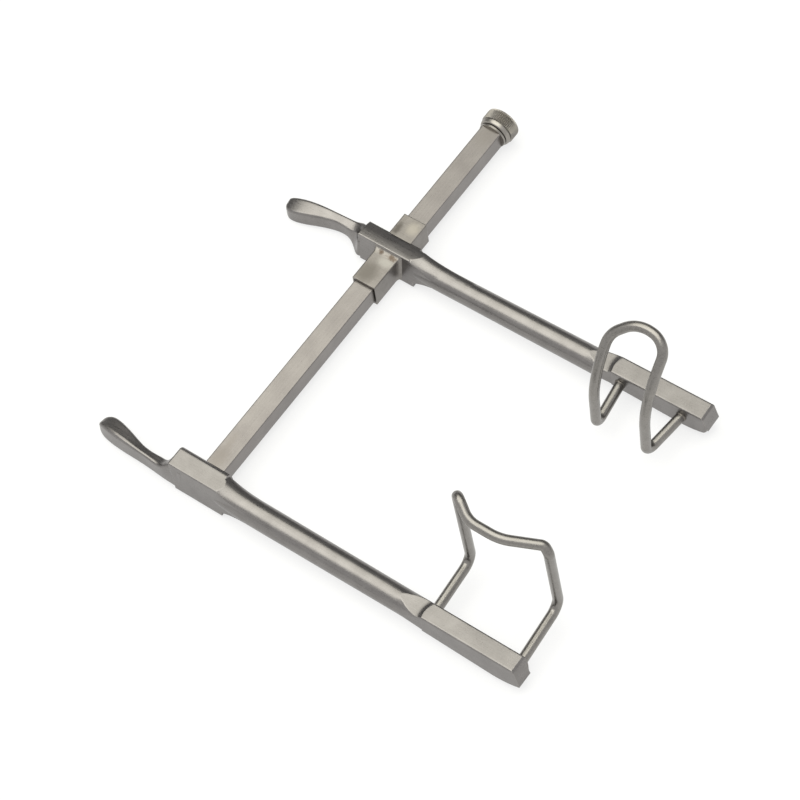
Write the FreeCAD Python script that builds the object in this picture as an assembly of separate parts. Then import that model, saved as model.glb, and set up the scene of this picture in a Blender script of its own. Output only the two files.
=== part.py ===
import FreeCAD, Part
import math
import os

os.makedirs("parts", exist_ok=True)
V = FreeCAD.Vector

# Self retaining retractor: two lateral arms on a square rail, each with a wire blade, all stainless steel.
# Frame in mm: X along the rail, handles at +Y, blade pads at -Y, blades stand up along +Z.
# Shapes are drawn with the rail's axis at z = 0 and stored with the boss foot faces at z = 0.
# The origin is then under the crossing of the fixed arm's axis and the rail's axis.

# Rail
rail_width = 9.0
rail_height = 8.6
rail_edge = 0.5
rail_length = 195.0
tenon_depth = 7.4

# Bosses of the two arm forgings: straight block with a long rounded edge on the rail side
boss_half_height = 7.5
boss_edge = 0.5
fixed_boss_inner = 6.2
fixed_boss_outer = 3.6
fixed_boss_draft = 1.7
fixed_boss_round = 2.3
fixed_boss_front = -8.3
fixed_boss_tail = 14.9
fixed_front_lean = 1.9
fixed_tail_lean = 2.4
slide_boss_inner = 4.0
slide_boss_outer = 4.05
slide_boss_draft = 1.3
slide_boss_inner_draft = 1.9
slide_crown_radius = 26.0
slide_crown_tilt = 2.0
slide_boss_front = -10.3
slide_boss_tail = 15.3
slide_front_lean = 1.7
slide_tail_lean = 1.0

# Shafts swell from the tangent point up to the boss by a power of the distance
fixed_shaft_root = 5.42
slide_shaft_root = 4.90
shaft_end_radius = 5.2
core_shrink = 1.1
core_run = 14.0
fixed_tangent_y = -34.0
slide_tangent_y = -37.0
flare_swell = 0.45
fixed_flare_power = 5.0
slide_flare_power = 4.0
fixed_swell_side = 5.3
slide_swell_side = 3.2
slide_cant = 0.9
cant_pivot_y = -54.0

# Blade pads
pad_start_y = -96.5
pad_full_y = -105.6
fixed_tip_y = -150.1
fixed_tip_back = 2.8
slide_tip_y = -149.2
slide_tip_back = 1.8
pad_inner = 3.8
fixed_pad_outer = 4.2
slide_pad_outer = 4.6
pad_draft = 0.6
pad_top = 5.3
pad_depth_root = 3.9
pad_depth = 5.6
pad_depth_tip = 3.3
pad_edge = 0.7
pad_tip_round = 1.3
pad_tip_chamfer = 0.8
scoop_radius = 4.4
scoop_angle = 40.0
scoop_ramp = 11.0
scoop_ramp_rise = 1.5
nose_radius = 8.6
nose_y = -105.2

# Handle section: the top slopes down to the inner side, the outer face is the taller one
grip_top_out = 2.6
grip_top_in = -3.1
grip_side = 3.3
grip_high = 4.4
grip_low = 2.7
grip_foot = 4.5
grip_edge = 1.25
fixed_root_top = 6.0
slide_root_top = 4.7
fixed_waist = (4.3, 0.3, 4.3)
slide_waist = (3.6, 2.4, 3.4)
slide_web = 2.9
neck_web = 1.6
fixed_handle_tip = 54.0
slide_handle_tip = 53.5

# Sliding arm and its sleeve
slide_x = 126.0
slide_clear = 0.12
sleeve_wall_side = 0.88
sleeve_wall_top = 1.55
sleeve_mouth = 0.3
sleeve_reach_in = 21.0
sleeve_reach_out = 14.6
sleeve_edge = 0.6

# Wire blades
wire_radius = 2.1
leg_z = -0.5
hole_depth = 5.6
bend_radius = 5.5
wide_root_a = -106.5
wide_root_b = -145.5
wide_bend_a = (29.1, -105.0)
wide_bend_b = (30.9, -143.8)
wide_top_a = (27.0, -104.7, 54.2)
wide_bow_a = (21.1, -113.8, 49.6)
wide_bow_b = (22.2, -126.6, 46.8)
wide_shoulder = (29.9, -141.0, 44.2)
wide_top_b = (29.0, -143.4, 42.0)
arch_leg_a = -112.2
arch_leg_b = -135.2
arch_root_spread = 2.4
arch_offset = 22.9
arch_bend_radius = 4.6
arch_flare_z = 33.1
arch_flare_turn = math.radians(39.0)
arch_flare_radius = 43.6
arch_shoulder_a = 20.2
arch_shoulder_b = 27.7
arch_crown = 29.6
arch_crown_back = 9.4
arch_radius_a = 10.7
arch_crown_radius = 12.7
arch_radius_b = 8.1

# End screw and washer
washer_radius = 6.1
washer_thick = 0.9
thread_radius = 2.5
thread_clear = 0.05
thread_length = 9.0
tap_depth = 12.0
shoulder_radius = 4.6
shoulder_length = 0.4
head_radius = 7.5
head_length = 7.7
head_round = 0.9

rail_start_x = fixed_boss_inner - tenon_depth
rail_end_x = rail_start_x + rail_length


def export(shape, node):
    stored = shape.copy()
    stored.translate(V(0, 0, boss_half_height))
    stored.exportStep("parts/" + node + ".step")


def rounded_quad(corners, radius, y):
    """Closed wire in the plane y through four rounded corners given as (x, z)."""
    edges, n = [], len(corners)
    trims = []
    for i in range(n):
        p = V(corners[i][0], y, corners[i][1])
        a = V(corners[i - 1][0], y, corners[i - 1][1]) - p
        b = V(corners[(i + 1) % n][0], y, corners[(i + 1) % n][1]) - p
        a.normalize()
        b.normalize()
        half = a.getAngle(b) / 2
        cut = radius / math.tan(half)
        bis = a + b
        bis.normalize()
        centre = p + bis * (radius / math.sin(half))
        trims.append((p + a * cut, centre - bis * radius, p + b * cut))
    for i in range(n):
        start, mid, end = trims[i]
        edges.append(Part.Arc(start, mid, end).toShape())
        edges.append(Part.LineSegment(end, trims[(i + 1) % n][0]).toShape())
    return Part.Wire(edges)


def filleted_path(points, radii):
    """Edges of a path of straight runs joined by tangent arcs at the inner points."""
    edges, last = [], points[0]
    for i in range(1, len(points) - 1):
        p, radius = points[i], radii[i - 1]
        a, b = points[i - 1] - p, points[i + 1] - p
        a.normalize()
        b.normalize()
        half = a.getAngle(b) / 2
        cut = radius / math.tan(half)
        bis = a + b
        bis.normalize()
        start, end = p + a * cut, p + b * cut
        mid = p + bis * (radius / math.sin(half) - radius)
        if (start - last).Length > 1e-4:
            edges.append(Part.LineSegment(last, start).toShape())
        edges.append(Part.Arc(start, mid, end).toShape())
        last = end
    edges.append(Part.LineSegment(last, points[-1]).toShape())
    return edges


def wire_along(edges):
    """Round wire swept along a chain of edges."""
    path = Part.Wire(edges)
    first = path.Edges[0]
    start = first.valueAt(first.FirstParameter)
    tangent = first.tangentAt(first.FirstParameter)
    ring = Part.Wire(Part.makeCircle(wire_radius, start, tangent))
    return path.makePipeShell([ring], True, False)


def side_block(points, half_width):
    """Block with the side profile points, given as (y, z), and a plain width across X."""
    outline = [V(-half_width, y, z) for y, z in points]
    return Part.Face(Part.makePolygon(outline + outline[:1])).extrude(V(2 * half_width, 0, 0))


def boss_section(out, inner, outer, draft, inner_draft, top_round, y0, y1):
    """Drafted boss bar; out is the side that the outer face looks to, -1 or +1."""
    h = boss_half_height
    corners = [(out * outer, h), (-out * inner, h), (-out * (inner + inner_draft), -h), (out * (outer + draft), -h)]
    bar = Part.Face(rounded_quad(corners, boss_edge, y0)).extrude(V(0, y1 - y0, 0))
    if top_round:
        r = top_round
        x, z = -out * inner, h
        round_bar = Part.makeCylinder(r, y1 - y0, V(x + out * r, y0, z - r), V(0, 1, 0))
        corner = Part.makeBox(r, y1 - y0, r, V(min(x, x + out * r), y0, z - r)).cut(round_bar)
        bar = bar.cut(corner)
    return bar


def turned(outline, y0, y1):
    """Body of revolution about Y under an outline edge that runs from y0 to y1."""
    ends = [outline[0].valueAt(outline[0].FirstParameter), outline[-1].valueAt(outline[-1].LastParameter)]
    edges = list(outline) + [Part.LineSegment(ends[1], V(0, y1, 0)).toShape(),
                             Part.LineSegment(V(0, y1, 0), V(0, y0, 0)).toShape(),
                             Part.LineSegment(V(0, y0, 0), ends[0]).toShape()]
    return Part.Face(Part.Wire(edges)).revolve(V(0, 0, 0), V(0, 1, 0), 360)


def power_curve(r0, r1, y0, y1, power):
    """Radius that leaves r0 along the axis and reaches r1 as a power of the distance."""
    steps = 6
    points = [V(r0 + (r1 - r0) * (i / steps) ** power, y0 + (y1 - y0) * i / steps, 0) for i in range(steps + 1)]
    curve = Part.BSplineCurve()
    curve.interpolate(Points=points, InitialTangent=V(0, y1 - y0, 0),
                      FinalTangent=V((r1 - r0) * power, y1 - y0, 0))
    return curve.toShape()


def flare(root_r, tangent_y, front_y, power, side):
    """Swell from the shaft up to just above the boss half height, kept below x = side."""
    top_r = boss_half_height + flare_swell
    rise = power_curve(root_r, top_r, tangent_y, front_y, power)
    swell = turned([rise, Part.LineSegment(V(top_r, front_y, 0), V(top_r, 0, 0)).toShape()], tangent_y, 0)
    return swell.common(Part.makeBox(side + top_r, -tangent_y, 2 * top_r, V(-top_r, tangent_y, -top_r)))


def core(root_r, tangent_y, front_y):
    """Tapered round shaft; its buried end is thinner, so it comes gently out of the boss faces."""
    slim = power_curve(root_r, root_r - core_shrink, front_y - core_run, front_y + 3.0, 2.0)
    taper = Part.LineSegment(V(shaft_end_radius, pad_start_y, 0), V(root_r, tangent_y, 0)).toShape()
    plain = Part.LineSegment(V(root_r, tangent_y, 0), V(root_r, front_y - core_run, 0)).toShape()
    return turned([taper, plain, slim], pad_start_y, front_y + 3.0)


def boss(out, inner, outer, draft, inner_draft, top_round, front, tail, front_lean, tail_lean, swell):
    """Boss block and the swell in front of it, both kept within the boss section."""
    h = boss_half_height
    block = side_block([(front, h), (front - front_lean, -h), (tail - tail_lean, -h), (tail, h)], 2 * h)
    bar = boss_section(out, inner, outer, draft, inner_draft, top_round, slide_tangent_y - h, tail + h)
    return bar.common(block.fuse(swell))


def grip_wire(out, y, wide, high, shift, rise, web=0.0):
    """One handle section: wide and high scale it, shift moves it outward, rise moves it up, web widens its inner foot."""
    pts = [(grip_top_out, grip_high), (grip_top_in, grip_low), (-grip_side - web, -grip_foot), (grip_side, -grip_foot)]
    pts = [(out * (shift + wide * o), rise + high * z) for o, z in pts]
    return rounded_quad(pts, grip_edge * min(wide, high), y)


def root_wire(out, y, inner, outer, inner_draft, draft, top, foot):
    pts = [(out * outer, top), (-out * inner, top - 0.4), (-out * (inner + inner_draft), foot), (out * (outer + draft), foot)]
    return rounded_quad(pts, grip_edge, y)


def handle(out, inner, inner_draft, outer, draft, root_top, waist, web, t):
    """Handle grows out of the boss tail, narrows to a neck, and swells to a rounded tip at y = t.

    waist is the inner reach, inner draft and top height where the handle leaves the tail,
    and web is how far the neck's inner foot is widened toward the tail.
    """
    sections = [root_wire(out, 9.5, inner - 0.5, outer - 0.2, inner_draft, draft, root_top, -7.25),
                root_wire(out, 13.3, inner - 0.9, outer - 0.2, 0.8 * inner_draft, draft, root_top - 0.6, -7.15),
                root_wire(out, 16.4, waist[0], outer, waist[1], 0.8 * draft, waist[2], -7.2),
                grip_wire(out, 18.8, 0.84, 1.08, 2.0, -2.2, web + neck_web),
                grip_wire(out, 21.5, 0.79, 0.92, 2.0, -2.75, 0.7 * web)]
    for y, wide, high, shift, rise in ((25.0, 0.72, 0.93, 1.85, -2.9),
                                       (31.0, 0.70, 0.98, 1.5, -2.9), (38.0, 0.99, 1.04, 0.4, -3.1),
                                       (t - 9.6, 1.20, 1.07, -0.75, -3.6), (t - 5.1, 1.22, 1.02, -1.5, -4.2),
                                       (t - 2.3, 1.06, 0.92, -1.7, -4.6), (t - 0.8, 0.80, 0.74, -1.5, -4.6),
                                       (t, 0.42, 0.36, -1.0, -4.4)):
        sections.append(grip_wire(out, y, wide, high, shift, rise))
    return Part.makeLoft(sections, True, False)


def pad_quad(out, y, outer, inner, foot_outer, top, depth, radius):
    corners = [(out * outer, top), (-out * inner, top), (-out * inner, -depth), (out * foot_outer, -depth)]
    return rounded_quad(corners, radius, y)


def pad(out, outer, tip_y, tip_back):
    """Blade pad: flat-topped bar with a rockered foot and a raked end face, blended from the round shaft."""
    r, foot_outer = shaft_end_radius, outer + pad_draft
    def line(p, q):
        return Part.LineSegment(V(0, *p), V(0, *q)).toShape()
    top_end, low_end = (tip_y + tip_back, pad_top), (tip_y, -pad_depth_tip)
    rake = pad_tip_chamfer * tip_back / (pad_top + pad_depth_tip)
    chamfer_top, chamfer_low = (top_end[0] + pad_tip_chamfer, pad_top), (top_end[0] - rake, pad_top - pad_tip_chamfer)
    belly, root = (tip_y + 14.0, -pad_depth), (pad_full_y, -pad_depth_root)
    rocker = Part.Arc(V(0, *low_end), V(0, tip_y + 5.5, -pad_depth + 0.55), V(0, *belly)).toShape()
    outline = Part.Wire([line((pad_full_y, pad_top), chamfer_top), line(chamfer_top, chamfer_low),
                         line(chamfer_low, low_end), rocker, line(belly, root), line(root, (pad_full_y, pad_top))])
    slab = Part.Face(outline).extrude(V(4 * outer, 0, 0))
    slab.translate(V(-2 * outer, 0, 0))
    deep = 2 * pad_depth
    plan = Part.Face(pad_quad(out, pad_full_y, outer, pad_inner, foot_outer + pad_draft, pad_top, deep, pad_edge))
    bar = plan.extrude(V(0, tip_y - 1 - pad_full_y, 0)).common(slab)
    c, x = pad_tip_round, -out * pad_inner
    post_y = tip_y + c + tip_back / 3
    corner = Part.makeBox(c, 3 * c, 2 * deep, V(min(x, x + out * c), post_y - 3 * c, -deep))
    bar = bar.cut(corner.cut(Part.makeCylinder(c, 2 * deep, V(x + out * c, post_y, -deep))))
    round_end = pad_quad(out, pad_start_y, r, r, r, r, r, r - 0.01)
    full = pad_quad(out, pad_full_y, outer, pad_inner, foot_outer, pad_top, pad_depth_root, pad_edge)
    neck = Part.makeLoft([round_end, full], True, True)
    return bar.fuse(neck)


def scoop(centre_x):
    """Ring-shaped cutter: a short wall under the flat's round nose, then a long ramp up to the shaft's top."""
    turn = math.radians(scoop_angle)
    wall, drop = scoop_radius * math.sin(turn), scoop_radius * (1 - math.cos(turn))
    half = scoop_radius * V(math.sin(turn / 2), 0, 1 - math.cos(turn / 2))
    floor = V(nose_radius + wall, 0, pad_top - drop)
    edge, over = V(nose_radius, 0, pad_top), 2 * scoop_ramp_rise
    wall_mid = floor + V(-half.x, 0, half.z)
    ramp_mid, ramp_end = floor + V(scoop_ramp / 2, 0, scoop_ramp_rise / 4), floor + V(scoop_ramp, 0, scoop_ramp_rise)
    lid_out, lid_in = V(ramp_end.x, 0, pad_top + over), V(nose_radius, 0, pad_top + over)
    outline = [Part.Arc(edge, wall_mid, floor).toShape(), Part.Arc(floor, ramp_mid, ramp_end).toShape(),
               Part.LineSegment(ramp_end, lid_out).toShape(), Part.LineSegment(lid_out, lid_in).toShape(),
               Part.LineSegment(lid_in, edge).toShape()]
    ring = Part.Face(Part.Wire(outline)).revolve(V(0, 0, 0), V(0, 0, 1), 360)
    ring.translate(V(centre_x, nose_y - nose_radius, 0))
    keep = Part.makeBox(4 * shaft_end_radius, wall + 2 * scoop_ramp, 4 * over,
                        V(centre_x - 2 * shaft_end_radius, nose_y - wall, pad_top - 2 * over))
    return ring.common(keep)


def wire_hole(x_mouth, out, y, dy):
    """Blind hole for a wire end, from the pad's inner face; dy is the wire's run in Y per unit of X."""
    way = V(out, dy, 0)
    way.normalize()
    start = V(x_mouth, y, leg_z) - way * wire_radius
    return Part.makeCylinder(wire_radius, wire_radius + hole_depth, start, way)


def pad_shaft(out, centre_x, shaft, outer, tip_y, tip_back):
    return shaft.fuse(pad(out, outer, tip_y, tip_back)).cut(scoop(centre_x))


def mouth_wire(x, half_w, half_h):
    """Rectangle across the rail at x, for the flared mouths of the sleeve."""
    pts = [V(x, -half_w, -half_h), V(x, half_w, -half_h), V(x, half_w, half_h), V(x, -half_w, half_h)]
    return Part.makePolygon(pts + pts[:1])


# Rail: a square bar with a tenon in the fixed boss and a tapped hole in its free end
rail = Part.makeBox(rail_length, rail_width, rail_height, V(rail_start_x, -rail_width / 2, -rail_height / 2))
rail = rail.makeFillet(rail_edge, [e for e in rail.Edges if abs(e.Vertexes[0].X - e.Vertexes[1].X) > 1])
rail_blank = rail.copy()
tap = Part.makeCylinder(thread_radius + thread_clear, tap_depth, V(rail_end_x - tap_depth, 0, 0), V(1, 0, 0))
rail = rail.cut(tap)
export(rail, "rail")

# Fixed arm: outer face looks to -X
front_y = fixed_boss_front - boss_edge
fixed_boss = boss(-1, fixed_boss_inner, fixed_boss_outer, fixed_boss_draft, 0.0, fixed_boss_round,
                  fixed_boss_front, fixed_boss_tail, fixed_front_lean, fixed_tail_lean,
                  flare(fixed_shaft_root, fixed_tangent_y, front_y, fixed_flare_power, fixed_swell_side))
fixed_arm = pad_shaft(-1, -pad_inner / 3, core(fixed_shaft_root, fixed_tangent_y, front_y), fixed_pad_outer,
                      fixed_tip_y, fixed_tip_back)
fixed_arm = fixed_arm.fuse([fixed_boss, handle(-1, fixed_boss_inner - 0.8, 0.4, fixed_boss_outer, fixed_boss_draft,
                                               fixed_root_top, fixed_waist, 0.0, fixed_handle_tip)])
wide_slope_a = (wide_bend_a[1] - wide_root_a) / (wide_bend_a[0] - pad_inner)
wide_slope_b = (wide_bend_b[1] - wide_root_b) / (wide_bend_b[0] - pad_inner)
for root_y, slope in ((wide_root_a, wide_slope_a), (wide_root_b, wide_slope_b)):
    fixed_arm = fixed_arm.cut(wire_hole(pad_inner, -1, root_y, -slope))
fixed_arm = fixed_arm.cut(rail_blank).removeSplitter()
export(fixed_arm, "fixed_arm")

# Sliding arm: outer face looks to +X; its shaft is set over by a slight cant
place = V(slide_x, 0, 0)
front_y = slide_boss_front - boss_edge
slide_boss = boss(1, slide_boss_inner, slide_boss_outer, slide_boss_draft, slide_boss_inner_draft, 0.0,
                  slide_boss_front, slide_boss_tail, slide_front_lean, slide_tail_lean,
                  flare(slide_shaft_root, slide_tangent_y, front_y, slide_flare_power, slide_swell_side))
tilt = math.radians(slide_crown_tilt)
crown_x = -slide_boss_inner - slide_crown_radius * math.sin(tilt)
crown_z = boss_half_height - slide_crown_radius * math.cos(tilt)
crown = Part.makeCylinder(slide_crown_radius, 8 * boss_half_height, V(crown_x, -6 * boss_half_height, crown_z), V(0, 1, 0))
slide_boss = slide_boss.common(crown)
canted = pad_shaft(1, 0.0, core(slide_shaft_root, slide_tangent_y, front_y), slide_pad_outer, slide_tip_y, slide_tip_back)
canted.rotate(V(0, cant_pivot_y, 0), V(0, 0, 1), slide_cant)
body = canted.fuse([slide_boss, handle(1, slide_boss_inner + 0.4, slide_boss_inner_draft, slide_boss_outer - 0.7,
                                       slide_boss_draft + 0.6, slide_root_top, slide_waist, slide_web,
                                       slide_handle_tip)])
cant_shift = math.tan(math.radians(slide_cant)) * (cant_pivot_y - (arch_leg_a + arch_leg_b) / 2)
arch_mouth = pad_inner - cant_shift
arch_slope = arch_root_spread / (arch_offset - arch_mouth)
for leg_y, side in ((arch_leg_a, 1), (arch_leg_b, -1)):
    body = body.cut(wire_hole(-arch_mouth, 1, leg_y + side * arch_root_spread, side * arch_slope))
body.translate(place)

# Sleeve: square tube brazed through the sliding boss
tube_w = rail_width + 2 * (slide_clear + sleeve_wall_side)
tube_h = rail_height + 2 * (slide_clear + sleeve_wall_top)
tube_length = sleeve_reach_in + sleeve_reach_out
tube = Part.makeBox(tube_length, tube_w, tube_h, V(slide_x - sleeve_reach_in, -tube_w / 2, -tube_h / 2))
tube = tube.makeFillet(sleeve_edge, [e for e in tube.Edges if abs(e.Vertexes[0].X - e.Vertexes[1].X) > 1])
bore_w, bore_h = rail_width + 2 * slide_clear, rail_height + 2 * slide_clear
bore = Part.makeBox(tube_length + 2, bore_w, bore_h, V(slide_x - sleeve_reach_in - 1, -bore_w / 2, -bore_h / 2))
sleeve = tube.cut(bore)
for end_x, way in ((slide_x - sleeve_reach_in, 1), (slide_x + sleeve_reach_out, -1)):
    wide_mouth = mouth_wire(end_x, bore_w / 2 + sleeve_mouth, bore_h / 2 + sleeve_mouth)
    deep_mouth = mouth_wire(end_x + 2 * way * sleeve_mouth, bore_w / 2, bore_h / 2)
    sleeve = sleeve.cut(Part.makeLoft([wide_mouth, deep_mouth], True, True))
export(sleeve, "slider_sleeve")
sliding_arm = body.cut(tube).removeSplitter()
export(sliding_arm, "sliding_arm")

# Wide blade on the fixed arm: squared wire loop, its free edge bowed outward


def leg_end(root_y, slope):
    """Inner end of a wide blade leg, hole_depth inside the pad."""
    run = hole_depth / math.hypot(1.0, slope)
    return V(pad_inner - run, root_y - slope * run, leg_z)


corners = [leg_end(wide_root_a, wide_slope_a), V(wide_bend_a[0], wide_bend_a[1], leg_z), V(*wide_top_a), V(*wide_bow_a),
           V(*wide_bow_b), V(*wide_shoulder), V(*wide_top_b), V(wide_bend_b[0], wide_bend_b[1], leg_z),
           leg_end(wide_root_b, wide_slope_b)]
wide_blade = wire_along(filleted_path(corners, [bend_radius, 3.2, 10.0, 20.0, 2.6, 2.6, bend_radius]))
export(wide_blade, "wide_blade")

# Arch blade on the sliding arm: legs run in from the pad, rise and flare outward into a round arch
arch_x = slide_x - arch_offset
arch_run = hole_depth / math.hypot(1.0, arch_slope)
spread = arch_root_spread + arch_slope * arch_run
x_in = slide_x - arch_mouth + arch_run


def on_slope(y, reach):
    """Point on the outward slope above the flare, at a distance from the flare's corner."""
    return V(arch_x + reach * math.sin(arch_flare_turn), y, arch_flare_z + reach * math.cos(arch_flare_turn))


corners = [V(x_in, arch_leg_a + spread, leg_z), V(arch_x, arch_leg_a, leg_z), V(arch_x, arch_leg_a, arch_flare_z),
           on_slope(arch_leg_a, arch_shoulder_a), on_slope(arch_leg_a - arch_crown_back, arch_crown),
           on_slope(arch_leg_b, arch_shoulder_b),
           V(arch_x, arch_leg_b, arch_flare_z), V(arch_x, arch_leg_b, leg_z), V(x_in, arch_leg_b - spread, leg_z)]
arch_blade = wire_along(filleted_path(corners, [arch_bend_radius, arch_flare_radius, arch_radius_a, arch_crown_radius,
                                                arch_radius_b, arch_flare_radius, arch_bend_radius]))
export(arch_blade, "arch_blade")

# Washer and end screw stop the slider at the rail's free end
washer = Part.makeCylinder(washer_radius, washer_thick, V(rail_end_x, 0, 0), V(1, 0, 0))
washer = washer.cut(Part.makeCylinder(thread_radius + 2 * thread_clear, washer_thick, V(rail_end_x, 0, 0), V(1, 0, 0)))
export(washer, "end_washer")

shoulder_x = rail_end_x + washer_thick
head_x = shoulder_x + shoulder_length
screw = Part.makeCylinder(thread_radius, thread_length + washer_thick, V(rail_end_x - thread_length, 0, 0), V(1, 0, 0))
shoulder = Part.makeCylinder(shoulder_radius, shoulder_length, V(shoulder_x, 0, 0), V(1, 0, 0))
head = Part.makeCylinder(head_radius, head_length, V(head_x, 0, 0), V(1, 0, 0))
head = head.makeFillet(head_round, [e for e in head.Edges if len(e.Vertexes) == 1])
screw = screw.fuse([shoulder, head]).removeSplitter()
export(screw, "end_screw")
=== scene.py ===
import logging
import math
from dataclasses import dataclass, field
from enum import Enum
from typing import Any

import bpy
from mathutils import Matrix, Vector


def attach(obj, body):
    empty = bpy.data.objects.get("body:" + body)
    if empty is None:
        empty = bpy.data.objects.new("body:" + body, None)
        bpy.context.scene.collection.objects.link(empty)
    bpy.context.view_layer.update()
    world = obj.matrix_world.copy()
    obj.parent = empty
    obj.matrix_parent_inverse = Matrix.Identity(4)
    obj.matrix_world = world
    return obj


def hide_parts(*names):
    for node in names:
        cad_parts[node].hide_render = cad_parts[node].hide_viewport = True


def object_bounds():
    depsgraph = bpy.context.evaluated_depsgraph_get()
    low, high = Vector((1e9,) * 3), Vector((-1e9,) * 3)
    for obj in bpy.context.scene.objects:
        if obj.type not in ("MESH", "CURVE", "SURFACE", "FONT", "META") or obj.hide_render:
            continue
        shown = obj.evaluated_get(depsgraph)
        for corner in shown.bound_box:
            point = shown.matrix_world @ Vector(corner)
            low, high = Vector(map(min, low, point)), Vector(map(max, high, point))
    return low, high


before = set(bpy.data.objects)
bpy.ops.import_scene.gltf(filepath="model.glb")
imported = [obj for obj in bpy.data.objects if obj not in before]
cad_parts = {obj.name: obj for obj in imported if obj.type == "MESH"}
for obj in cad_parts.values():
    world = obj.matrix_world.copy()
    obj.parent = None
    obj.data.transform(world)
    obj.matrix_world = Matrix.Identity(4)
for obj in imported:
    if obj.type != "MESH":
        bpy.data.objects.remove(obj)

CAD_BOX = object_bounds()
MM = 0.001
LOG = logging.getLogger("retractor")

# Corners nearer to each other than this, in mm, become one
WELD = 0.002
# Sockets of the Mix node that share a name: numbers A and B, colours A and B, and the mixed colour
MIX_A, MIX_B, MIX_COLOUR_A, MIX_COLOUR_B, MIXED_COLOUR = 2, 3, 6, 7, 2
# Repeats per metre of the noise that makes a stain's outline ragged, a bit over 1 mm each
RAGGED_SCALE = 900.0
# Closeness to a stain's centre, from 0 at its rim to 1, from which it has its full strength
STAIN_CORE = 0.8
# Roughness that a stain at full strength adds
STAIN_DULLS = 0.12
# Cosine of the turn between the plain and the softened normal where edge wear starts, and where it is full
WEAR_STARTS, WEAR_FULL = 0.995, 0.9
# Lines plus pits have a mean of 1: how strongly they move the colour, and the span that spreads the roughness
GRAIN_CONTRAST = 1.1
GRAIN_LOW, GRAIN_HIGH = 0.7, 1.3


class Grain(Enum):
    """Direction that the finishing belt or die ran in."""

    ALONG_RAIL = "x"
    ALONG_ARM = "y"
    NONE = "none"


def linear(colour: str) -> tuple[float, float, float, float]:
    """Turns an sRGB hex colour into linear RGBA.

    Args:
        colour: Six hex digits with a leading hash sign.

    Returns:
        Red, green, blue and an alpha of 1.
    """
    values = [int(colour[i:i + 2], 16) / 255 for i in (1, 3, 5)]
    red, green, blue = (v / 12.92 if v <= 0.04045 else ((v + 0.055) / 1.055) ** 2.4 for v in values)
    return red, green, blue, 1.0


def add_node(tree: bpy.types.NodeTree, kind: str, settings: dict[Any, Any] | None = None,
             links: dict[Any, bpy.types.NodeSocket] | None = None) -> bpy.types.Node:
    """Adds a node with its settings and links.

    Args:
        tree: Node tree that gets the node.
        kind: Type name of the node.
        settings: Values by property name, or by name or index of the input socket.
        links: Output sockets by name or index of the input socket that they feed.

    Returns:
        The new node.
    """
    made = tree.nodes.new(kind)
    for key, value in (settings or {}).items():
        if isinstance(key, str) and hasattr(made, key):
            setattr(made, key, value)
        else:
            made.inputs[key].default_value = value
    for key, socket in (links or {}).items():
        tree.links.new(socket, made.inputs[key])
    return made


@dataclass(frozen=True)
class Stain:
    """Soft patch of another colour on the steel, such as heat tint beside a brazed joint. Lengths in mm."""

    centre: tuple[float, float, float]
    reach: tuple[float, float, float]
    colour: str
    strength: float
    ragged: float = 0.35


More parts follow.
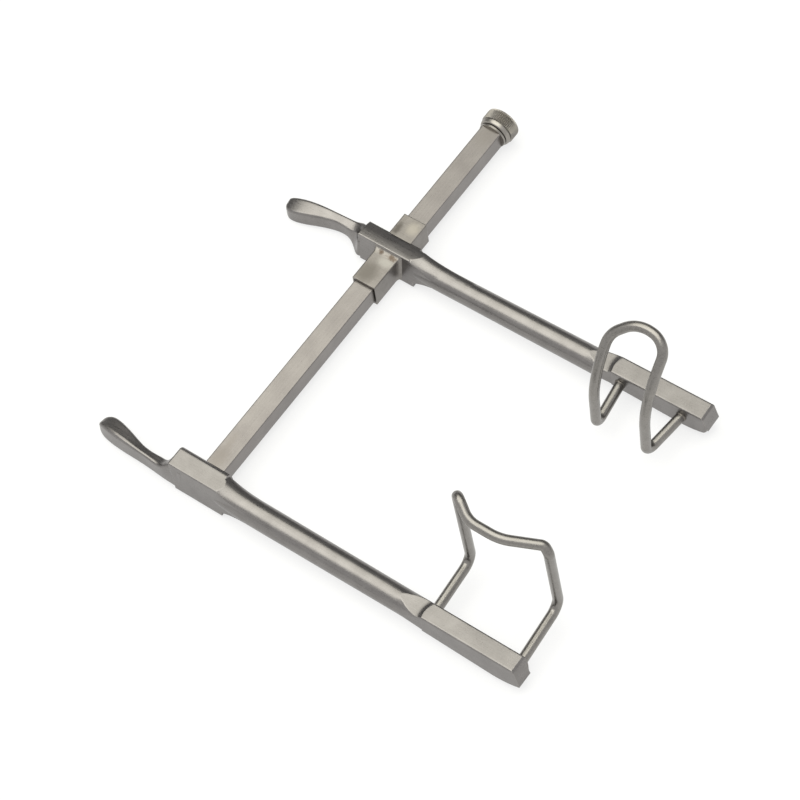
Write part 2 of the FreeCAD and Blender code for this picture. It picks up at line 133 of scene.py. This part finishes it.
@dataclass(frozen=True)
class SteelFinish:
    """Bare steel or braze with finishing lines, soft patches, worn edges and stains. Lengths in mm.

    Real finishing lines are finer than the render can show, so line_width draws them 0.35 to 0.8 mm apart.
    """

    name: str
    light: str
    dark: str
    roughness: float
    spread: float
    grain: Grain
    line_width: float
    line_length: float
    line_height: float
    patch: float
    wave: float
    wave_height: float
    pit: float
    edge: float
    edge_colour: str
    stains: tuple[Stain, ...] = ()
    wear: float = 0.5

    def line_scale(self) -> tuple[float, float, float]:
        """Works out how closely the finishing lines repeat.

        Returns:
            Repeats per metre on each axis.
        """
        across, along = 1 / (self.line_width * MM), 1 / (self.line_length * MM)
        if self.grain is Grain.ALONG_RAIL:
            return along, across, across
        if self.grain is Grain.ALONG_ARM:
            return across, along, across
        return across, across, across

    def stained(self, tree: bpy.types.NodeTree, place: bpy.types.NodeSocket, colour: bpy.types.NodeSocket,
                rough: bpy.types.NodeSocket) -> tuple[bpy.types.NodeSocket, bpy.types.NodeSocket]:
        """Lays the stains over the colour and dulls the steel under them.

        Args:
            tree: Node tree of the material.
            place: Object coordinates in metres.
            colour: Colour before the stains.
            rough: Roughness before the stains.

        Returns:
            Colour and roughness with the stains.
        """
        for stain in self.stains:
            scale = [1 / (r * MM) for r in stain.reach]
            centred = add_node(tree, "ShaderNodeMapping", {"Scale": scale, "Location": [
                -c * MM * s for c, s in zip(stain.centre, scale)]}, {"Vector": place})
            torn = add_node(tree, "ShaderNodeTexNoise", {"Scale": RAGGED_SCALE, "Detail": 3.0},
                            {"Vector": place})
            shifted = add_node(tree, "ShaderNodeVectorMath",
                               {"operation": "MULTIPLY_ADD", 1: [stain.ragged * 2] * 3},
                               {0: torn.outputs["Color"], 2: centred.outputs["Vector"]})
            middle = add_node(tree, "ShaderNodeVectorMath", {"operation": "SUBTRACT", 1: [stain.ragged] * 3},
                              {0: shifted.outputs["Vector"]})
            ball = add_node(tree, "ShaderNodeTexGradient", {"gradient_type": "SPHERICAL"},
                            {"Vector": middle.outputs["Vector"]})
            amount = add_node(tree, "ShaderNodeMapRange", {
                "interpolation_type": "SMOOTHSTEP", "From Max": STAIN_CORE, "To Max": stain.strength},
                {"Value": ball.outputs["Fac"]})
            mixed = add_node(tree, "ShaderNodeMix", {"data_type": "RGBA", MIX_COLOUR_B: linear(stain.colour)},
                             {0: amount.outputs["Result"], MIX_COLOUR_A: colour})
            duller = add_node(tree, "ShaderNodeMath", {"operation": "MULTIPLY_ADD", 1: STAIN_DULLS},
                              {0: amount.outputs["Result"], 2: rough})
            colour, rough = mixed.outputs[MIXED_COLOUR], duller.outputs["Value"]
        return colour, rough

    def rubbed(self, tree: bpy.types.NodeTree, rounded: bpy.types.NodeSocket,
               colour: bpy.types.NodeSocket) -> bpy.types.NodeSocket:
        """Brightens the steel where hands and trays have rubbed its edges.

        Args:
            tree: Node tree of the material.
            rounded: Normal that turns softly over the edges.
            colour: Colour before the wear.

        Returns:
            Colour with the wear.
        """
        plain = add_node(tree, "ShaderNodeNewGeometry")
        turn = add_node(tree, "ShaderNodeVectorMath", {"operation": "DOT_PRODUCT"},
                        {0: rounded, 1: plain.outputs["Normal"]})
        worn = add_node(tree, "ShaderNodeMapRange",
                        {"From Min": WEAR_STARTS, "From Max": WEAR_FULL, "To Max": self.wear},
                        {"Value": turn.outputs["Value"]})
        return add_node(tree, "ShaderNodeMix", {"data_type": "RGBA", MIX_COLOUR_B: linear(self.edge_colour)},
                        {0: worn.outputs["Result"], MIX_COLOUR_A: colour}).outputs[MIXED_COLOUR]

    def material(self) -> bpy.types.Material:
        """Builds the material of this finish.

        Returns:
            The new material.
        """
        made = bpy.data.materials.new(self.name)
        made.use_nodes = True
        tree = made.node_tree
        tree.nodes.clear()
        place = add_node(tree, "ShaderNodeTexCoord").outputs["Object"]
        stretched = add_node(tree, "ShaderNodeMapping", {"Scale": self.line_scale()}, {"Vector": place})
        lines = add_node(tree, "ShaderNodeTexNoise", {"Scale": 1.0, "Detail": 3.0, "Roughness": 0.6},
                         {"Vector": stretched.outputs["Vector"]}).outputs["Fac"]
        patches = add_node(tree, "ShaderNodeTexNoise", {"Scale": 1 / (self.patch * MM), "Detail": 3.0},
                           {"Vector": place}).outputs["Fac"]
        waves = add_node(tree, "ShaderNodeTexNoise", {"Scale": 1 / (self.wave * MM), "Detail": 1.0},
                         {"Vector": place}).outputs["Fac"]
        pits = add_node(tree, "ShaderNodeTexNoise",
                        {"Scale": 1 / (self.pit * MM), "Detail": 2.0, "Roughness": 0.7},
                        {"Vector": place}).outputs["Fac"]
        grain = add_node(tree, "ShaderNodeMath", {"operation": "ADD"}, {0: lines, 1: pits}).outputs["Value"]
        tone = add_node(tree, "ShaderNodeMath",
                        {"operation": "MULTIPLY_ADD", 1: GRAIN_CONTRAST, 2: -GRAIN_CONTRAST}, {0: grain})
        blend = add_node(tree, "ShaderNodeMath", {"operation": "ADD", "use_clamp": True},
                         {0: tone.outputs["Value"], 1: patches})
        base = add_node(tree, "ShaderNodeMix", {
            "data_type": "RGBA", MIX_COLOUR_A: linear(self.dark), MIX_COLOUR_B: linear(self.light)},
            {0: blend.outputs["Value"]})
        dull = add_node(tree, "ShaderNodeMapRange", {
            "From Min": GRAIN_LOW, "From Max": GRAIN_HIGH,
            "To Min": self.roughness - self.spread, "To Max": self.roughness + self.spread}, {"Value": grain})
        colour, rough = self.stained(tree, place, base.outputs[MIXED_COLOUR], dull.outputs["Result"])
        rounded = add_node(tree, "ShaderNodeBevel",
                           {"samples": 8, "Radius": self.edge * MM}).outputs["Normal"]
        colour = self.rubbed(tree, rounded, colour)
        swell = add_node(tree, "ShaderNodeBump", {"Strength": 1.0, "Distance": self.wave_height * MM},
                         {"Height": waves, "Normal": rounded})
        scratched = add_node(tree, "ShaderNodeBump", {"Strength": 1.0, "Distance": self.line_height * MM},
                             {"Height": grain, "Normal": swell.outputs["Normal"]})
        steel = add_node(tree, "ShaderNodeBsdfPrincipled", {"Metallic": 1.0},
                         {"Base Color": colour, "Roughness": rough, "Normal": scratched.outputs["Normal"]})
        add_node(tree, "ShaderNodeOutputMaterial", {}, {"Surface": steel.outputs["BSDF"]})
        return made


# Stainless bar, cold drawn: straight die lines along the bar, satin grey, faint smudges near both ends
DRAWN_BAR = SteelFinish(
    name="stainless_bar_cold_drawn", light="#8D8986", dark="#767270", roughness=0.33, spread=0.06,
    grain=Grain.ALONG_RAIL, line_width=0.45, line_length=22.0, line_height=0.007,
    patch=9.0, wave=14.0, wave_height=0.02, pit=0.5, edge=0.35, edge_colour="#A09D99",
    stains=(
        Stain(centre=(10.9, 0.9, 11.8), reach=(9.0, 5.0, 4.0), colour="#7A746E", strength=0.5),
        Stain(centre=(19.5, 1.5, 11.8), reach=(6.0, 2.5, 3.0), colour="#807A74", strength=0.35),
        Stain(centre=(190.0, 0.0, 11.8), reach=(8.0, 5.0, 4.0), colour="#85807A", strength=0.4),
    ))
# Stainless forging, belt finished along the arm: soft satin with slightly wavy reflections
SATIN_FORGING = SteelFinish(
    name="stainless_forging_satin_belt", light="#8B8886", dark="#757270", roughness=0.32, spread=0.06,
    grain=Grain.ALONG_ARM, line_width=0.5, line_length=14.0, line_height=0.006,
    patch=6.0, wave=11.0, wave_height=0.04, pit=0.5, edge=0.7, edge_colour="#A09D9A")
# Stainless square tube, sawn and hand dressed: satin with darker and paler heat tints beside the boss
BRAZED_TUBE = SteelFinish(
    name="stainless_tube_dressed_heat_tinted", light="#8B8783", dark="#726E6A", roughness=0.35, spread=0.06,
    grain=Grain.ALONG_ARM, line_width=0.5, line_length=5.0, line_height=0.006,
    patch=4.0, wave=6.0, wave_height=0.03, pit=0.5, edge=0.4, edge_colour="#A09D99",
    stains=(
        Stain(centre=(110.0, 1.7, 13.5), reach=(8.0, 7.0, 4.0), colour="#67635D", strength=0.7, ragged=0.15),
        Stain(centre=(117.2, -2.0, 13.5), reach=(3.5, 5.0, 3.0), colour="#A8A59F", strength=0.7, ragged=0.15),
        Stain(centre=(133.4, 3.6, 13.5), reach=(5.5, 2.2, 3.0), colour="#5C5853", strength=0.85),
        Stain(centre=(136.0, -2.0, 13.5), reach=(4.5, 4.0, 3.0), colour="#ADA79C", strength=0.5, ragged=0.15),
    ))
# Stainless spring wire, drawn and polished: the smoothest surface of the tool, with faint duller patches
POLISHED_WIRE = SteelFinish(
    name="stainless_wire_drawn_polished", light="#918E8A", dark="#7D7A76", roughness=0.3, spread=0.04,
    grain=Grain.NONE, line_width=0.8, line_length=0.8, line_height=0.0003,
    patch=6.0, wave=9.0, wave_height=0.008, pit=0.6, edge=0.7, edge_colour="#A4A19D", wear=0.0)
# Stainless screw head, turned and knurled: tool marks between the teeth keep it duller and a little browner
KNURLED_STEEL = SteelFinish(
    name="stainless_turned_knurled", light="#9F9B95", dark="#8A8680", roughness=0.36, spread=0.04,
    grain=Grain.ALONG_RAIL, line_width=0.35, line_length=2.0, line_height=0.001,
    patch=2.5, wave=4.0, wave_height=0.01, pit=0.5, edge=0.12, edge_colour="#BAB6B0")
# Stainless washer, turned flat with a plain rim: even, dull grey
TURNED_WASHER = SteelFinish(
    name="stainless_washer_turned", light="#9C9892", dark="#84807A", roughness=0.36, spread=0.05,
    grain=Grain.NONE, line_width=0.5, line_length=0.5, line_height=0.004,
    patch=3.0, wave=5.0, wave_height=0.01, pit=0.5, edge=0.15, edge_colour="#B0ADA8")
# Silver braze at the wires' feet, left as it set: duller than the wire, with darker flux in patches
BRAZE_COLLAR = SteelFinish(
    name="silver_braze_as_set", light="#918C86", dark="#635D56", roughness=0.42, spread=0.08,
    grain=Grain.NONE, line_width=0.7, line_length=0.7, line_height=0.006,
    patch=1.3, wave=2.5, wave_height=0.03, pit=0.5, edge=0.1, edge_colour="#A09C97")
# Silver braze round the sleeve, dressed back by hand: steel grey with browned pools at the corners of its run
BRAZE_DRESSED = SteelFinish(
    name="silver_braze_dressed", light="#918D88", dark="#787470", roughness=0.36, spread=0.07,
    grain=Grain.NONE, line_width=0.6, line_length=0.6, line_height=0.006,
    patch=2.0, wave=2.5, wave_height=0.05, pit=0.5, edge=0.15, edge_colour="#B4B0AA",
    stains=(
        Stain(centre=(120.5, 2.4, 14.0), reach=(1.5, 1.6, 2.0), colour="#54483E", strength=0.9, ragged=0.7),
        Stain(centre=(120.2, -2.9, 14.0), reach=(1.8, 3.2, 2.0), colour="#5A4E43", strength=0.85, ragged=0.8),
        Stain(centre=(119.0, 5.4, 11.0), reach=(1.6, 1.6, 2.6), colour="#6A5F54", strength=0.7),
    ))


def deselect_all() -> None:
    """Leaves object mode on, with nothing selected."""
    if bpy.context.object and bpy.context.object.mode != "OBJECT":
        bpy.ops.object.mode_set(mode="OBJECT")
    bpy.ops.object.select_all(action="DESELECT")


def settle(piece: bpy.types.Object, name: str, angle: float) -> None:
    """Names a piece, puts its place in its mesh, closes doubles and shades it.

    Args:
        piece: Piece in object mode.
        name: Name of the finished piece.
        angle: Largest angle in degrees that still shades smooth.
    """
    deselect_all()
    piece.select_set(True)
    bpy.context.view_layer.objects.active = piece
    bpy.ops.object.transform_apply(location=True, rotation=True, scale=True)
    bpy.ops.object.mode_set(mode="EDIT")
    bpy.ops.mesh.select_all(action="SELECT")
    bpy.ops.mesh.remove_doubles(threshold=WELD * MM)
    bpy.ops.mesh.normals_make_consistent(inside=False)
    bpy.ops.object.mode_set(mode="OBJECT")
    bpy.ops.object.shade_smooth_by_angle(angle=math.radians(angle))
    piece.name = name
    piece.data.name = name
    deselect_all()


def lathe(stations: list[tuple[float, float]], count: int, closed: bool) -> bpy.types.Object:
    """Turns a piece about the X axis by extruding and scaling a ring from station to station.

    Args:
        stations: Place along X and radius of each ring in mm.
        count: Corners of each ring.
        closed: True for a ring-shaped piece whose last station is its first one.

    Returns:
        The piece, active and in object mode, at the world origin.
    """
    deselect_all()
    x, radius = stations[0]
    bpy.ops.mesh.primitive_circle_add(vertices=count, radius=radius * MM, location=(x * MM, 0, 0),
                                      rotation=(0, math.pi / 2, 0))
    piece = bpy.context.object
    bpy.ops.object.transform_apply(location=True, rotation=True, scale=True)
    bpy.ops.object.mode_set(mode="EDIT")
    bpy.ops.mesh.select_all(action="SELECT")
    if not closed:
        bpy.ops.mesh.edge_face_add()
        bpy.ops.mesh.select_all(action="SELECT")
    for (last, old_radius), (here, new_radius) in zip(stations, stations[1:]):
        bpy.ops.mesh.extrude_region_move(TRANSFORM_OT_translate={"value": ((here - last) * MM, 0, 0)})
        ratio = new_radius / old_radius
        bpy.ops.transform.resize(value=(1, ratio, ratio), center_override=(here * MM, 0, 0))
    bpy.ops.object.mode_set(mode="OBJECT")
    return piece


@dataclass
class EndScrew:
    """Knurled thumb screw in the rail's free end, along X from the rail's end face. Lengths in mm."""

    rail_end: float = 193.8
    axis_height: float = 7.5
    teeth: int = 56
    tooth_depth: float = 0.6
    thread_start: float = -9.0
    thread_lead: float = 0.45
    thread_point: float = 1.7
    thread_radius: float = 2.5
    thread_depth: float = 0.4
    crest_half: float = 0.06
    pitch: float = 0.8
    turns: int = 11
    knurl_from: float = 3.75
    knurl_to: float = 8.0
    knurl_slack: float = 0.1
    knurl_radius: float = 7.5
    smooth_angle: float = 24.0
    head_stations: tuple[tuple[float, float], ...] = (
        (0.93, 2.5), (0.94, 4.55), (1.28, 4.55), (1.3, 6.3), (1.6, 6.75), (2.2, 7.0), (2.9, 7.15),
        (3.05, 6.95), (3.12, 6.7), (3.42, 6.7), (3.55, 7.2), (3.75, 7.5), (8.0, 7.5), (8.4, 7.35),
        (8.72, 7.0), (8.92, 6.4), (8.99, 5.6), (8.93, 5.2), (8.74, 4.8), (8.72, 1.2), (8.72, 0.05))

    def thread_stations(self) -> list[tuple[float, float]]:
        """Lays out the thread from its chamfered point to the head.

        Returns:
            Place along X and radius of each ring.
        """
        root = self.thread_radius - self.thread_depth
        first = self.thread_start + self.thread_lead
        rings = [(self.thread_start, self.thread_point), (first, root)]
        for i in range(self.turns):
            crest = first + (i + 0.5) * self.pitch
            rings += [(crest - self.crest_half, self.thread_radius),
                      (crest + self.crest_half, self.thread_radius), (crest + self.pitch / 2, root)]
        return rings

    def knurl(self, piece: bpy.types.Object) -> None:
        """Presses every other lengthwise line of the head inwards.

        Args:
            piece: Turned screw with two corners for each tooth.
        """
        mesh = piece.data
        for part in (mesh.vertices, mesh.edges, mesh.polygons):
            part.foreach_set("select", [False] * len(part))
        low, high = (self.knurl_from - self.knurl_slack) * MM, (self.knurl_to + self.knurl_slack) * MM
        for corner in mesh.vertices:
            line = round(math.atan2(corner.co.z, corner.co.y) / math.pi * self.teeth)
            corner.select = low < corner.co.x < high and line % 2 == 0
        bpy.ops.object.mode_set(mode="EDIT")
        ratio = 1 - self.tooth_depth / self.knurl_radius
        bpy.ops.transform.resize(value=(1, ratio, ratio), center_override=(0, 0, 0))
        bpy.ops.object.mode_set(mode="OBJECT")

    def build(self) -> None:
        """Turns, knurls and places the screw."""
        piece = lathe([*self.thread_stations(), *self.head_stations], 2 * self.teeth, closed=False)
        self.knurl(piece)
        piece.location = (self.rail_end * MM, 0, self.axis_height * MM)
        settle(piece, "thumb_screw", self.smooth_angle)
        piece.data.materials.append(KNURLED_STEEL.material())
        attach(piece, "screw")
        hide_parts("end_screw")
        LOG.info("thumb screw: %d faces", len(piece.data.polygons))


@dataclass
class WireCollar:
    """Small braze run where a blade wire enters its pad. Lengths in mm.

    mouth is the middle of the wire's hole and way the direction that the wire leaves it in. hollow gives the
    run's concave flank, as shares of rise and of skirt.
    """

    name: str
    body: str
    mouth: tuple[float, float, float]
    way: tuple[float, float, float]
    wire_radius: float = 2.1
    rise: float = 0.4
    skirt: float = 0.3
    buried: float = 0.5
    inside: float = 0.05
    lip: float = 0.02
    corners: int = 40
    smooth_angle: float = 60.0
    hollow: tuple[tuple[float, float], ...] = ((0.0, 1.0), (0.12, 0.6), (0.35, 0.3), (0.65, 0.12))

    def build(self, finish: bpy.types.Material) -> None:
        """Turns the collar and lays it round the wire.

        Args:
            finish: Material of the braze.
        """
        r = self.wire_radius
        inner = (-self.buried, r - self.inside)
        flank = [(high * self.rise, r + thick * self.skirt) for high, thick in self.hollow]
        stations = [inner, (-self.buried, r + self.skirt), *flank, (self.rise, r + self.lip),
                    (self.rise, r - self.inside), inner]
        piece = lathe(stations, self.corners, closed=True)
        piece.rotation_euler = Vector(self.way).to_track_quat("X", "Z").to_euler()
        piece.location = Vector(self.mouth) * MM
        settle(piece, self.name, self.smooth_angle)
        piece.data.materials.append(finish)
        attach(piece, self.body)
        LOG.info("%s: %d faces", self.name, len(piece.data.polygons))


@dataclass
class SleeveBraze:
    """Concave braze run round the square sleeve on one face of the sliding boss. Lengths in mm.

    out is 1 or -1, the way along X that the face looks, and lean the face's tilt in degrees.
    """

    name: str
    face_x: float
    out: int
    lean: float
    middle_height: float = 7.5
    half_width: float = 5.5
    half_height: float = 5.97
    corner: float = 0.6
    corner_steps: int = 5
    run_out: float = 2.8
    run_up: float = 1.2
    rows: int = 6
    root_over: float = 0.1
    toe_over: float = 0.4
    toe_sunk: float = 0.03
    inset: float = 0.3
    buried: float = 0.6
    smooth_angle: float = 80.0

    def rings(self) -> list[tuple[float, float]]:
        """Lays out the run from inside the boss over its hollow to its toe, and back under the sleeve's skin.

        Returns:
            Distance from the boss's face and growth over the sleeve's outline of each ring.
        """
        made = [(-self.buried, self.run_up + self.root_over), (0.0, self.run_up)]
        for i in range(1, self.rows + 1):
            turn = math.radians(90 / self.rows * i)
            made.append((self.run_out * (1 - math.cos(turn)), self.run_up * (1 - math.sin(turn))))
        toe = self.run_out + self.toe_over
        return made + [(toe, -self.toe_sunk), (toe, -self.inset), (-self.buried, -self.inset)]

    def build(self, finish: bpy.types.Material) -> None:
        """Extrudes the rounded outline of the sleeve into a concave skirt.

        Args:
            finish: Material of the braze.
        """
        wide, high = self.half_width - self.inset, self.half_height - self.inset
        deselect_all()
        bpy.ops.mesh.primitive_plane_add(size=1, rotation=(0, math.pi / 2, 0))
        piece = bpy.context.object
        piece.scale = (2 * high * MM, 2 * wide * MM, 1)
        bpy.ops.object.transform_apply(location=True, rotation=True, scale=True)
        bpy.ops.object.mode_set(mode="EDIT")
        bpy.ops.mesh.select_all(action="SELECT")
        bpy.ops.mesh.bevel(offset=self.corner * MM, segments=self.corner_steps, affect="VERTICES")
        bpy.ops.mesh.delete(type="ONLY_FACE")
        bpy.ops.mesh.select_all(action="SELECT")
        bpy.ops.transform.translate(value=(-self.out * self.buried * MM, 0, 0))
        x = -self.buried
        for away, grow in self.rings():
            new_wide, new_high = self.half_width + grow, self.half_height + grow
            step = (self.out * (away - x) * MM, 0, 0)
            bpy.ops.mesh.extrude_region_move(TRANSFORM_OT_translate={"value": step})
            bpy.ops.transform.resize(value=(1, new_wide / wide, new_high / high), center_override=(0, 0, 0))
            x, wide, high = away, new_wide, new_high
        bpy.ops.object.mode_set(mode="OBJECT")
        for corner in piece.data.vertices:
            corner.co.x += corner.co.z * math.tan(math.radians(self.lean))
        piece.location = (self.face_x * MM, 0, self.middle_height * MM)
        settle(piece, self.name, self.smooth_angle)
        piece.data.materials.append(finish)
        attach(piece, "slider")
        LOG.info("%s: %d faces", self.name, len(piece.data.polygons))


@dataclass
class SteelNodes:
    """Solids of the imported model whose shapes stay, each with its finish."""

    finishes: dict[str, SteelFinish] = field(default_factory=lambda: {
        "rail": DRAWN_BAR, "fixed_arm": SATIN_FORGING, "sliding_arm": SATIN_FORGING,
        "slider_sleeve": BRAZED_TUBE, "wide_blade": POLISHED_WIRE, "arch_blade": POLISHED_WIRE,
        "end_washer": TURNED_WASHER})

    def dress(self) -> None:
        """Puts each finish on the material slots of its solid."""
        made: dict[str, bpy.types.Material] = {}
        for node, finish in self.finishes.items():
            if finish.name not in made:
                made[finish.name] = finish.material()
            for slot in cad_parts[node].material_slots:
                slot.material = made[finish.name]
            LOG.info("%s: %s", node, finish.name)


@dataclass
class Studio:
    """Floor, overhead softbox, graded room and the camera at the photograph's angle. Lengths in m."""

    eye: tuple[float, float, float] = (-0.403062, -0.510052, 1.093667)
    right: tuple[float, float, float] = (0.579849, -0.809064, -0.095871)
    up: tuple[float, float, float] = (0.724796, 0.458520, 0.514228)
    back: tuple[float, float, float] = (-0.372084, -0.367662, 0.852278)
    lens_mm: float = 147.05
    sensor_mm: float = 36.0
    clip_start: float = 0.05
    floor_size: float = 8.0
    floor_gap: float = 0.0001
    floor_colour: str = "#898989"
    floor_lift: float = 0.72
    room_near: float = 0.88
    room_far: float = 0.26
    room_side: tuple[float, float, float] = (-0.85, -0.5, 0.0)
    room_grade: tuple[float, float] = (-0.55, 0.1)
    box_size: float = 1.7
    box_level: float = 2.3
    box_place: tuple[float, float, float] = (0.08, 0.16, 1.25)
    box_colour: tuple[float, float, float] = (1.0, 0.99, 0.9)
    aim: tuple[float, float, float] = (0.09, -0.05, 0.01)

    def camera(self) -> None:
        """Sets up the camera with the photograph's position, turn and lens."""
        data = bpy.data.cameras.new("photo_view")
        data.lens = self.lens_mm
        data.sensor_width = self.sensor_mm
        data.clip_start = self.clip_start
        made = bpy.data.objects.new("photo_view", data)
        bpy.context.scene.collection.objects.link(made)
        turn = Matrix((self.right, self.up, self.back)).transposed().to_4x4()
        made.matrix_world = Matrix.Translation(self.eye) @ turn
        bpy.context.scene.camera = made

    def floor(self) -> None:
        """Lays the grey floor, lifted to white for the eye and the steel, which keeps the object's shadow."""
        deselect_all()
        place = (self.aim[0], self.aim[1], CAD_BOX[0].z - self.floor_gap)
        bpy.ops.mesh.primitive_plane_add(size=self.floor_size, location=place)
        made = bpy.context.object
        made.name = "studio_floor"
        paper = bpy.data.materials.new("white_paper_matt")
        paper.use_nodes = True
        tree = paper.node_tree
        tree.nodes.clear()
        rays = add_node(tree, "ShaderNodeLightPath")
        seen = add_node(tree, "ShaderNodeMath", {"operation": "MAXIMUM"},
                        {0: rays.outputs["Is Camera Ray"], 1: rays.outputs["Is Glossy Ray"]})
        shown = add_node(tree, "ShaderNodeMath", {"operation": "MAXIMUM"},
                         {0: seen.outputs["Value"], 1: rays.outputs["Is Transmission Ray"]})
        lift = add_node(tree, "ShaderNodeMath", {"operation": "MULTIPLY", 1: self.floor_lift},
                        {0: shown.outputs["Value"]})
        matt = add_node(tree, "ShaderNodeBsdfDiffuse", {"Color": linear(self.floor_colour)})
        glow = add_node(tree, "ShaderNodeEmission", {"Color": linear("#FFFFFF")},
                        {"Strength": lift.outputs["Value"]})
        both = add_node(tree, "ShaderNodeAddShader", {},
                        {0: matt.outputs["BSDF"], 1: glow.outputs["Emission"]})
        add_node(tree, "ShaderNodeOutputMaterial", {}, {"Surface": both.outputs["Shader"]})
        made.data.materials.append(paper)

    def softbox(self) -> None:
        """Hangs the warm square softbox overhead, facing the object."""
        data = bpy.data.lights.new("softbox", "AREA")
        data.shape = "SQUARE"
        data.size = self.box_size
        data.energy = self.box_level * math.pi * self.box_size ** 2
        data.color = self.box_colour
        made = bpy.data.objects.new("softbox", data)
        bpy.context.scene.collection.objects.link(made)
        made.location = self.box_place
        made.rotation_euler = (Vector(self.box_place) - Vector(self.aim)).to_track_quat("Z", "Y").to_euler()

    def room(self) -> None:
        """Makes the room pale on the near side, dark on the far side, and white to the eye."""
        world = bpy.data.worlds.new("studio_room")
        bpy.context.scene.world = world
        world.use_nodes = True
        tree = world.node_tree
        tree.nodes.clear()
        way = add_node(tree, "ShaderNodeTexCoord").outputs["Generated"]
        side = add_node(tree, "ShaderNodeVectorMath", {"operation": "DOT_PRODUCT", 1: self.room_side},
                        {0: way})
        level = add_node(tree, "ShaderNodeMapRange", {
            "interpolation_type": "SMOOTHSTEP",
            "From Min": self.room_grade[0], "From Max": self.room_grade[1],
            "To Min": self.room_far, "To Max": self.room_near}, {"Value": side.outputs["Value"]})
        rays = add_node(tree, "ShaderNodeLightPath")
        shown = add_node(tree, "ShaderNodeMix", {MIX_B: 1.0},
                         {0: rays.outputs["Is Camera Ray"], MIX_A: level.outputs["Result"]})
        walls = add_node(tree, "ShaderNodeBackground", {"Color": linear("#FFFFFF")},
                         {"Strength": shown.outputs["Result"]})
        add_node(tree, "ShaderNodeOutputWorld", {}, {"Surface": walls.outputs["Background"]})

    def build(self) -> None:
        """Builds the camera, floor and lights."""
        self.camera()
        self.floor()
        self.softbox()
        self.room()
        bpy.context.scene.view_settings.view_transform = "Standard"


def main() -> None:
    """Builds every piece and logs what was made."""
    logging.basicConfig(level=logging.INFO, format="%(name)s %(message)s")
    Studio().build()
    SteelNodes().dress()
    EndScrew().build()
    collar_braze = BRAZE_COLLAR.material()
    collars = [
        WireCollar(name="wide_collar_a", body="frame", mouth=(3.8, -106.5, 7.0), way=(25.3, 1.5, 0.0)),
        WireCollar(name="wide_collar_b", body="frame", mouth=(3.8, -145.5, 7.0), way=(27.1, 1.7, 0.0)),
        WireCollar(name="arch_collar_a", body="slider", mouth=(123.08, -109.8, 7.0), way=(-20.2, -2.4, 0.0)),
        WireCollar(name="arch_collar_b", body="slider", mouth=(123.51, -137.6, 7.0), way=(-20.2, 2.4, 0.0))]
    for collar in collars:
        collar.build(collar_braze)
    SleeveBraze(name="sleeve_braze_near", face_x=121.05, out=-1, lean=7.2).build(BRAZE_DRESSED.material())
    deselect_all()
    LOG.info("sizes written")


if __name__ == "__main__":
    main()
